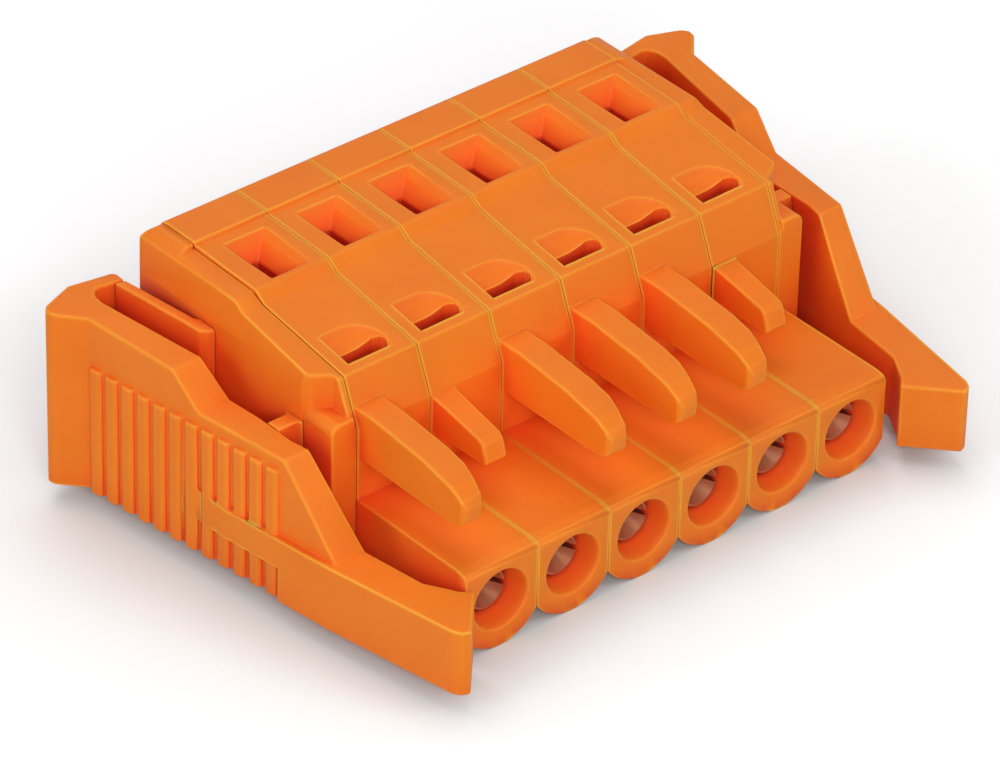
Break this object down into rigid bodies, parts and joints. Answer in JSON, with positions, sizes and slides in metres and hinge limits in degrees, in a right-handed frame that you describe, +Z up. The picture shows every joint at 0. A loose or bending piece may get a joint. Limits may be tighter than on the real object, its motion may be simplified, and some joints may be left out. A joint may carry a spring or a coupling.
{
  "type": "pluggable terminal block",
  "caption": "Pluggable spring-clamp terminal block with round mating sleeves, coding fingers, tool funnels and a locking lever at each end.",
  "frame": {"origin": "middle of the overall box, on the rest plane", "axes": "+X along the row of poles, +Y from the mating sleeves to the conductor entries, +Z up through the tool funnels"},
  "size_m": [0.0468, 0.0306, 0.0149],
  "materials": {
    "orange": "satin moulded",
    "tin": "tin plated",
    "spring_steel": "bright strip"
  },
  "bodies": {
    "block": {"housing_1": "orange", "housing_2": "orange", "housing_3": "orange", "housing_4": "orange", "housing_5": "orange", "housing_6": "orange", "contact_1": "tin", "contact_2": "tin", "contact_3": "tin", "contact_4": "tin", "contact_5": "tin", "contact_6": "tin", "end_plate_left": "orange", "end_plate_right": "orange", "leaf_left": "orange", "leaf_right": "orange", "web_left": "orange", "web_right": "orange"},
    "lever_left_body": {"lever_left": "orange"},
    "lever_right_body": {"lever_right": "orange"},
    "clamp_1_body": {"clamp_1": "spring_steel"},
    "clamp_2_body": {"clamp_2": "spring_steel"},
    "clamp_3_body": {"clamp_3": "spring_steel"},
    "clamp_4_body": {"clamp_4": "spring_steel"},
    "clamp_5_body": {"clamp_5": "spring_steel"},
    "clamp_6_body": {"clamp_6": "spring_steel"}
  },
  "joints": [
    {"name": "lever_left_pivot", "type": "hinge", "parent": "block", "child": "lever_left_body", "pos_m": [-0.01925, 0.0005, 0.006], "axis": [0, 0, -1], "range_deg": [0, 4], "stiffness_Nm_per_rad": 0.6},
    {"name": "lever_right_pivot", "type": "hinge", "parent": "block", "child": "lever_right_body", "pos_m": [0.01925, 0.0005, 0.006], "axis": [0, 0, 1], "range_deg": [0, 4], "stiffness_Nm_per_rad": 0.6},
    {"name": "clamp_1_flex", "type": "hinge", "parent": "block", "child": "clamp_1_body", "pos_m": [-0.0127, 0.0039, 0.0084], "axis": [-1, 0, 0], "range_deg": [0, 18], "stiffness_Nm_per_rad": 0.2, "springref_deg": -11.46},
    {"name": "clamp_2_flex", "type": "hinge", "parent": "block", "child": "clamp_2_body", "pos_m": [-0.00762, 0.0039, 0.0084], "axis": [-1, 0, 0], "range_deg": [0, 18], "stiffness_Nm_per_rad": 0.2, "springref_deg": -11.46},
    {"name": "clamp_3_flex", "type": "hinge", "parent": "block", "child": "clamp_3_body", "pos_m": [-0.00254, 0.0039, 0.0084], "axis": [-1, 0, 0], "range_deg": [0, 18], "stiffness_Nm_per_rad": 0.2, "springref_deg": -11.46},
    {"name": "clamp_4_flex", "type": "hinge", "parent": "block", "child": "clamp_4_body", "pos_m": [0.00254, 0.0039, 0.0084], "axis": [-1, 0, 0], "range_deg": [0, 18], "stiffness_Nm_per_rad": 0.2, "springref_deg": -11.46},
    {"name": "clamp_5_flex", "type": "hinge", "parent": "block", "child": "clamp_5_body", "pos_m": [0.00762, 0.0039, 0.0084], "axis": [-1, 0, 0], "range_deg": [0, 18], "stiffness_Nm_per_rad": 0.2, "springref_deg": -11.46},
    {"name": "clamp_6_flex", "type": "hinge", "parent": "block", "child": "clamp_6_body", "pos_m": [0.0127, 0.0039, 0.0084], "axis": [-1, 0, 0], "range_deg": [0, 18], "stiffness_Nm_per_rad": 0.2, "springref_deg": -11.46}
  ]
}
